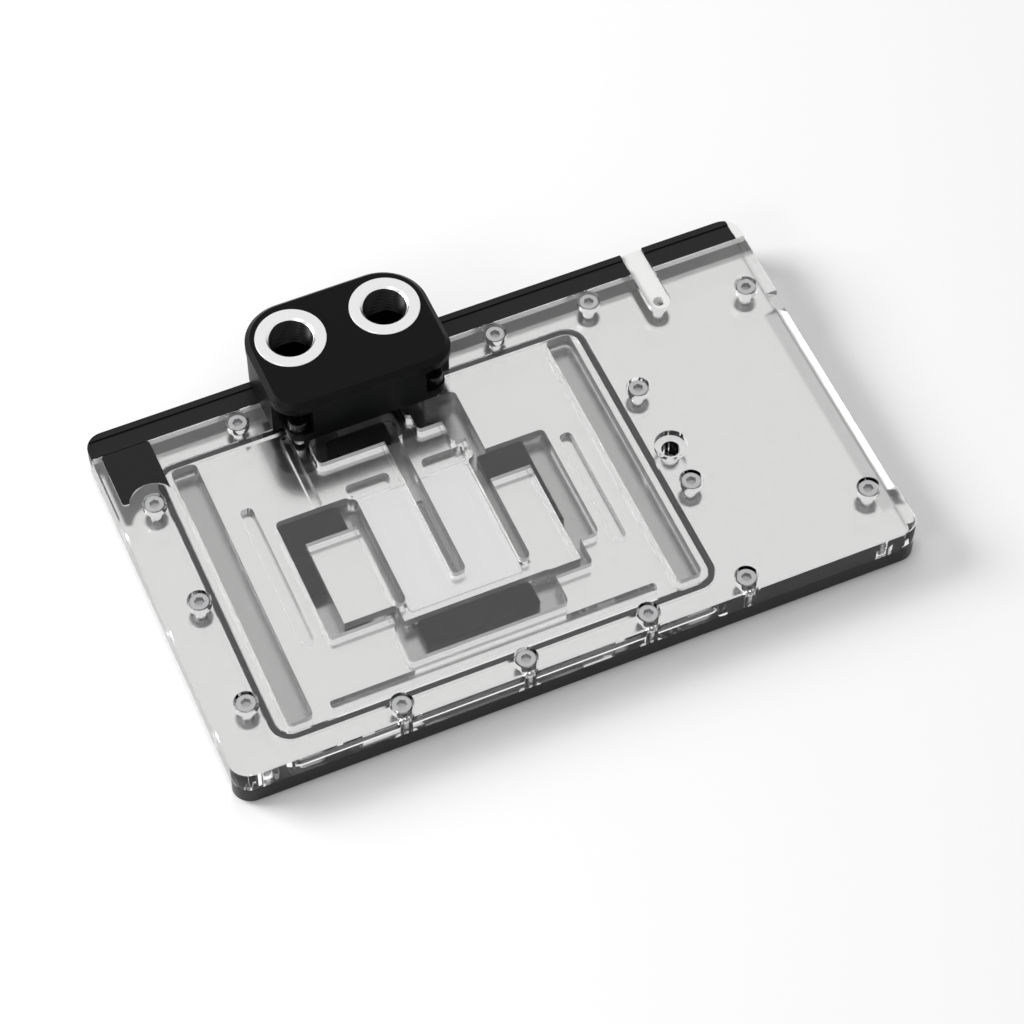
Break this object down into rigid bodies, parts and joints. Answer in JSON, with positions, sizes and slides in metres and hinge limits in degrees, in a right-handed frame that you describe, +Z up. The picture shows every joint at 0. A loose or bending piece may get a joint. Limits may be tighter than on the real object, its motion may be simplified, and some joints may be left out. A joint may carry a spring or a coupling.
{
  "type": "liquid cooling cold plate",
  "caption": "Full-cover liquid cooling cold plate for an expansion card: finned nickel-plated plate, clear flow top, black port terminal over the back edge and a black light strip.",
  "frame": {"origin": "centre of the chip contact face on the underside, on the surface the plate lies on", "axes": "+X along the block away from the light strip's rounded end, +Y towards the terminal, +Z up through the clear top and along the port axes"},
  "size_m": [0.192, 0.1259, 0.03],
  "materials": {
    "nickel": "satin",
    "clear_acrylic": "polished",
    "steel": "satin",
    "plated_ring": "satin",
    "gasket": "matte",
    "black_acetal": "matte",
    "black_cover": "satin",
    "white_plastic": "satin",
    "board": "satin",
    "lamp": "gloss"
  },
  "bodies": {
    "root": {"cold_plate": "nickel", "clear_top": "clear_acrylic", "jet_plate": "steel", "main_o_ring": "gasket", "flow_guide_left": "black_acetal", "flow_guide_right": "black_acetal", "inlet_guide": "black_acetal", "outlet_guide": "black_acetal", "cover_screws": "steel", "front_trim": "black_cover", "corner_plate": "black_cover", "light_cover_long": "black_cover", "light_cover_short": "black_cover", "light_end_cap": "white_plastic", "cable_bridge": "white_plastic", "led_board": "board", "led_chips": "lamp", "terminal_body": "black_acetal", "terminal_cap": "black_acetal", "port_ring_left": "plated_ring", "port_ring_right": "plated_ring", "terminal_seal_left": "gasket", "terminal_seal_right": "gasket", "terminal_screws": "steel"}
  },
  "joints": []
}
